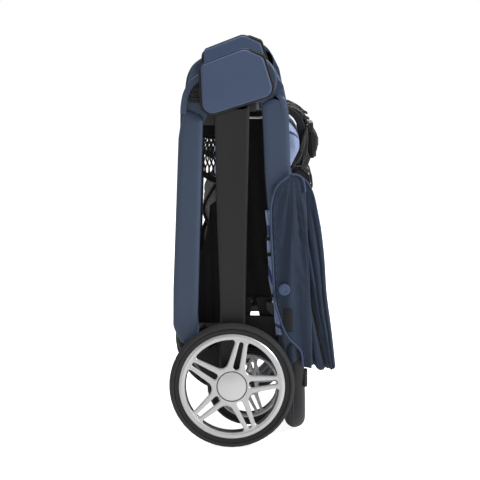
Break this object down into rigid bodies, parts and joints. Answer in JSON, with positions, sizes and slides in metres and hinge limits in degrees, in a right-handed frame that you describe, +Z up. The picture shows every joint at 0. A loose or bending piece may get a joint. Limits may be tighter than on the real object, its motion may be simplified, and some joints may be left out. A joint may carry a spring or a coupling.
{
  "type": "baby stroller",
  "caption": "Compact folding baby stroller, stored folded and standing: fold hubs, side tubes, spoked wheels, swivel casters, padded seat, harness and pleated canopy.",
  "frame": {"origin": "centre of the folded stroller's footprint, on the ground it stands on", "axes": "+Z up; +X towards the folded handle and canopy, the rear when unfolded; -Y the stroller's left side, +Y its right"},
  "size_m": [0.2725, 0.4996, 0.6527],
  "materials": {
    "black_leg": "satin",
    "black_plastic": "matte",
    "blue_cover": "satin",
    "steel": "satin",
    "black_metal": "satin",
    "black_fabric": "woven",
    "tyre": "matte",
    "rim": "satin silver",
    "cap": "brushed silver",
    "blue_metal": "satin powder coat",
    "dark_plastic": "matte",
    "grip_leather": "fine grain",
    "board": "fabric covered",
    "lining_fabric": "printed knit",
    "webbing": "ribbed webbing",
    "blue_plastic": "satin",
    "canopy_fabric": "pleated weave"
  },
  "bodies": {
    "rear_frame": {"left_rear_leg": "black_leg", "right_rear_leg": "black_leg", "left_hub_housing": "black_plastic", "right_hub_housing": "black_plastic", "left_hub_cover": "blue_cover", "right_hub_cover": "blue_cover", "left_hub_inner_cover": "blue_cover", "right_hub_inner_cover": "blue_cover", "hub_pivot_pins": "steel", "rear_cross_tube": "black_metal", "rear_axle_stubs": "steel", "basket": "black_fabric"},
    "left_rear_wheel": {"left_rear_tyre": "tyre", "left_rear_rim": "rim", "left_rear_hub_cap": "cap"},
    "right_rear_wheel": {"right_rear_tyre": "tyre", "right_rear_rim": "rim", "right_rear_hub_cap": "cap"},
    "front_frame": {"left_front_leg": "blue_metal", "right_front_leg": "blue_metal", "left_caster_housing": "black_plastic", "right_caster_housing": "black_plastic", "front_cross_tube": "black_metal", "footrest": "dark_plastic", "caster_rivets": "steel"},
    "left_caster": {"left_fork": "black_plastic", "left_front_axle": "steel"},
    "right_caster": {"right_fork": "black_plastic", "right_front_axle": "steel"},
    "left_front_wheel": {"left_front_tyre": "tyre", "left_front_rim": "rim", "left_front_hub_cap": "cap"},
    "right_front_wheel": {"right_front_tyre": "tyre", "right_front_rim": "rim", "right_front_hub_cap": "cap"},
    "handle": {"left_handle_tube": "blue_metal", "right_handle_tube": "blue_metal", "handle_grip": "grip_leather", "backrest_shell": "board", "backrest_pad": "lining_fabric", "backrest_brackets": "dark_plastic", "harness_straps": "webbing", "shoulder_pads": "black_fabric", "buckle": "dark_plastic", "canopy_pivot_pins": "dark_plastic", "canopy_rear_hoop": "dark_plastic", "canopy_rear_panel": "canopy_fabric", "canopy_poppers": "blue_plastic", "label_patches": "black_fabric"},
    "fold_button": {"fold_button": "dark_plastic"},
    "buckle_button": {"buckle_button": "dark_plastic"},
    "seat": {"seat_frame": "black_metal", "seat_pad": "lining_fabric"},
    "brake": {"brake_pedal": "dark_plastic"},
    "canopy_mid": {"canopy_mid_hoop": "dark_plastic", "canopy_mid_panel": "canopy_fabric"},
    "canopy_front": {"canopy_front_hoop": "dark_plastic", "canopy_front_panel": "canopy_fabric"}
  },
  "joints": [
    {"name": "left_rear_wheel_spin", "type": "hinge", "parent": "rear_frame", "child": "left_rear_wheel", "pos_m": [-0.03375, -0.235, 0.1025], "axis": [0, 1, 0], "continuous": true},
    {"name": "right_rear_wheel_spin", "type": "hinge", "parent": "rear_frame", "child": "right_rear_wheel", "pos_m": [-0.03375, 0.235, 0.1025], "axis": [0, 1, 0], "continuous": true},
    {"name": "handle_fold", "type": "hinge", "parent": "rear_frame", "child": "handle", "pos_m": [0.00225, 0, 0.6], "axis": [0, -1, 0], "range_deg": [0, 120]},
    {"name": "front_leg_fold", "type": "hinge", "parent": "rear_frame", "child": "front_frame", "pos_m": [-0.05575, 0, 0.6], "axis": [0, 1, 0], "range_deg": [0, 65]},
    {"name": "seat_fold", "type": "hinge", "parent": "rear_frame", "child": "seat", "pos_m": [-0.03675, 0, 0.575], "axis": [0, 1, 0], "range_deg": [0, 125]},
    {"name": "left_caster_swivel", "type": "hinge", "parent": "front_frame", "child": "left_caster", "pos_m": [-0.08375, -0.142, 0.157], "axis": [-0.5592, 0, 0.829], "range_deg": [0, 40]},
    {"name": "right_caster_swivel", "type": "hinge", "parent": "front_frame", "child": "right_caster", "pos_m": [-0.08375, 0.142, 0.157], "axis": [-0.5592, 0, 0.829], "range_deg": [-40, 0]},
    {"name": "left_front_wheel_spin", "type": "hinge", "parent": "left_caster", "child": "left_front_wheel", "pos_m": [-0.00704, -0.142, 0.08619], "axis": [0, 1, 0], "continuous": true},
    {"name": "right_front_wheel_spin", "type": "hinge", "parent": "right_caster", "child": "right_front_wheel", "pos_m": [-0.00704, 0.142, 0.08619], "axis": [0, 1, 0], "continuous": true},
    {"name": "canopy_open", "type": "hinge", "parent": "handle", "child": "canopy_mid", "pos_m": [0.05525, 0, 0.42], "axis": [0, -1, 0], "range_deg": [0, 50]},
    {"name": "canopy_front_open", "type": "hinge", "parent": "canopy_mid", "child": "canopy_front", "pos_m": [0.05525, 0, 0.42], "axis": [0, -1, 0], "range_deg": [0, 50]},
    {"name": "brake_press", "type": "hinge", "parent": "rear_frame", "child": "brake", "pos_m": [-0.03375, -0.154, 0.215], "axis": [0, 1, 0], "range_deg": [0, 18]},
    {"name": "fold_button_press", "type": "slide", "parent": "handle", "child": "fold_button", "axis": [-1, 0, 0], "range_m": [0, 0.003], "stiffness_N_per_m": 400},
    {"name": "buckle_button_press", "type": "slide", "parent": "handle", "child": "buckle_button", "axis": [-1, 0, 0], "range_m": [0, 0.002], "stiffness_N_per_m": 500}
  ],
  "couplings": [
    {"joint": "front_leg_fold", "follows": "handle_fold", "ratio": 0.5416},
    {"joint": "seat_fold", "follows": "handle_fold", "ratio": 1.0416},
    {"joint": "canopy_front_open", "follows": "canopy_open", "ratio": 1}
  ]
}
